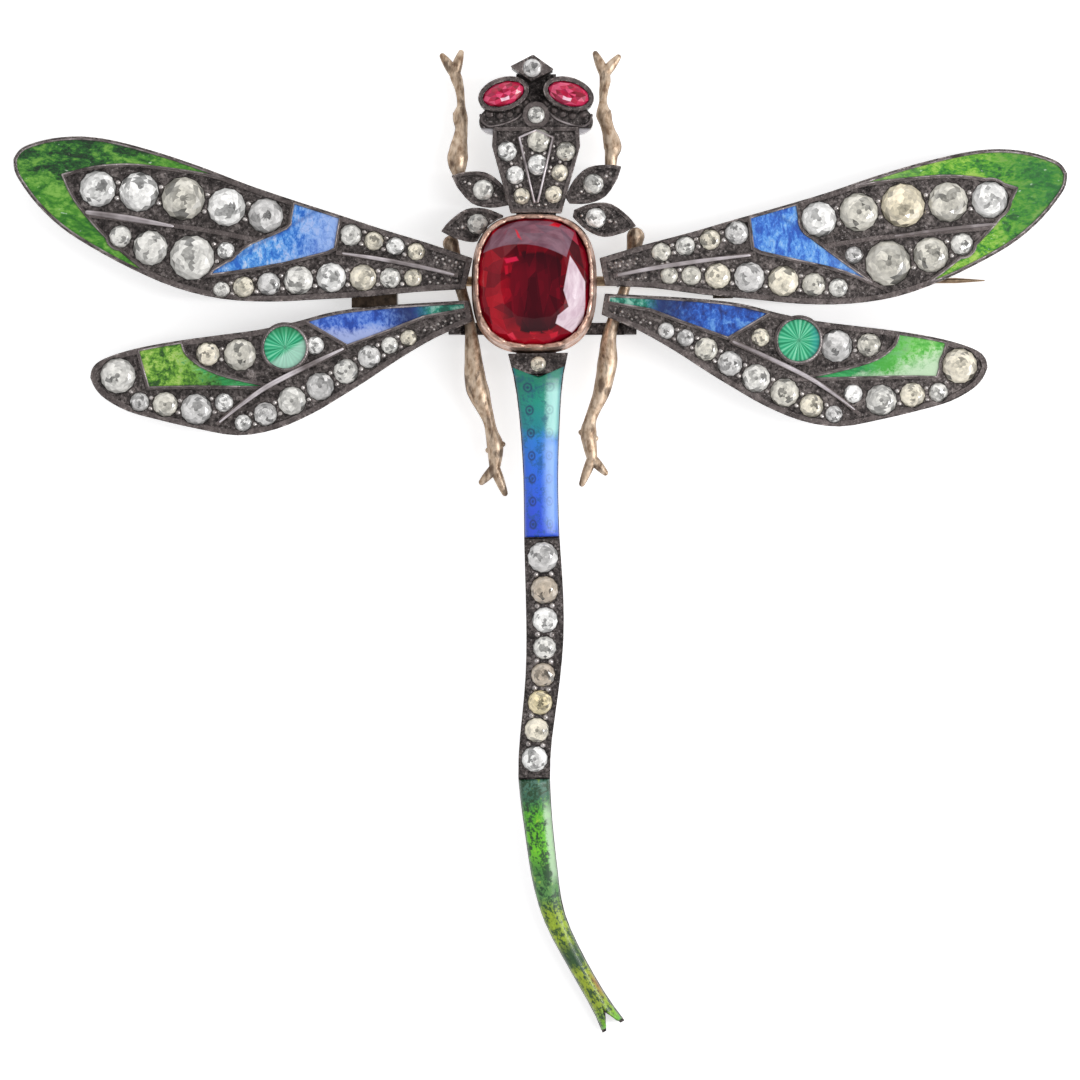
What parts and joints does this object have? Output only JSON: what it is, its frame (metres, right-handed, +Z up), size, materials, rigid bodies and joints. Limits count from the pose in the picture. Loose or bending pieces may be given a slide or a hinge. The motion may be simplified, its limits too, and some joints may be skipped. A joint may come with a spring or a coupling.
{
  "type": "dragonfly brooch",
  "caption": "Dragonfly brooch with four jewelled and enamelled wings, a large red cushion stone in a scalloped collet, red eyes, a curved enamelled tail, gold legs and a pin behind.",
  "frame": {"origin": "middle of the outline seen from above, at the level that the brooch rests on", "axes": "+Z up, the way the face looks; +Y towards the head; +X towards the right wings as seen from the face"},
  "size_m": [0.0946, 0.089, 0.0099],
  "materials": {
    "silver": "oxidised silver with worn bright edges",
    "leg_gold": "pale rose gold, textured and patinated",
    "collet_gold": "rose gold, softly polished",
    "fitting_gold": "low gold, satin",
    "red_stone": "faceted dark red cushion stone",
    "pink_stone": "faceted pinkish red oval stones",
    "white_stone": "old-cut colourless to greyish stones",
    "dark_green_enamel": "glossy translucent enamel",
    "green_enamel": "glossy translucent enamel",
    "sky_blue_enamel": "glossy translucent enamel",
    "royal_blue_enamel": "glossy translucent enamel",
    "lime_enamel": "glossy translucent enamel",
    "emerald_enamel": "glossy enamel over radial engraving"
  },
  "bodies": {
    "root": {"wing_upper_left": "silver", "wing_upper_right": "silver", "wing_lower_left": "silver", "wing_lower_right": "silver", "tip_enamel_left": "dark_green_enamel", "tip_enamel_right": "green_enamel", "blue_enamel_left": "sky_blue_enamel", "blue_enamel_right": "sky_blue_enamel", "root_enamel_left": "royal_blue_enamel", "root_enamel_right": "royal_blue_enamel", "leaf_enamel_left": "lime_enamel", "leaf_enamel_right": "lime_enamel", "disc_enamel_left": "emerald_enamel", "disc_enamel_right": "emerald_enamel", "stones_upper_left": "white_stone", "stones_upper_right": "white_stone", "stones_lower_left": "white_stone", "stones_lower_right": "white_stone", "centre_collet": "collet_gold", "centre_stone": "red_stone", "head_setting": "silver", "eye_left": "pink_stone", "eye_right": "pink_stone", "head_stone": "white_stone", "crown_setting": "silver", "crown_stone": "white_stone", "neck": "silver", "neck_stones": "white_stone", "leaf_upper_left": "silver", "leaf_upper_right": "silver", "leaf_lower_left": "silver", "leaf_lower_right": "silver", "leaf_stones": "white_stone", "leg_front_left": "leg_gold", "leg_front_right": "leg_gold", "leg_rear_left": "leg_gold", "leg_rear_right": "leg_gold", "tail": "silver", "tail_stones": "white_stone", "tail_enamel_blue": "royal_blue_enamel", "tail_enamel_green": "lime_enamel", "back_frame": "silver", "hinge_block": "fitting_gold", "catch": "fitting_gold", "pin_stem": "fitting_gold"}
  },
  "joints": []
}
